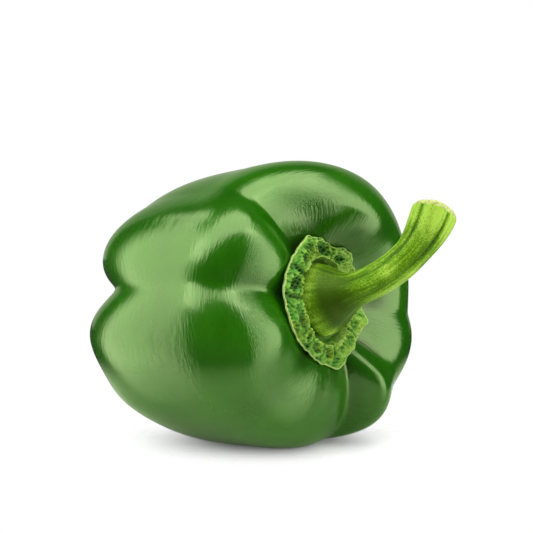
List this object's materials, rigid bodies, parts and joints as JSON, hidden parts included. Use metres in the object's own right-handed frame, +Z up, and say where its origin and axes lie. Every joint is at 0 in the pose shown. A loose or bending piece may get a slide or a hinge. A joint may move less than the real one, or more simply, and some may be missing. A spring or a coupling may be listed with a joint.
{
  "type": "bell pepper",
  "caption": "Blocky lobed bell pepper lying on its side, with a fleshy folded calyx and a bent, ribbed stem with a slanting cut end.",
  "frame": {"origin": "middle of the bounding box's underside, on the surface that the pepper lies on", "axes": "+X from the blossom end to the stem end along the pepper, +Z up"},
  "size_m": [0.1094, 0.087, 0.0856],
  "materials": {
    "skin": "deep green, waxy and glossy",
    "calyx": "dull green, wrinkled and pitted",
    "stem": "yellow green, satin, with fine lengthwise streaks"
  },
  "bodies": {
    "root": {"fruit": "skin", "calyx": "calyx", "stem": "stem"}
  },
  "joints": []
}
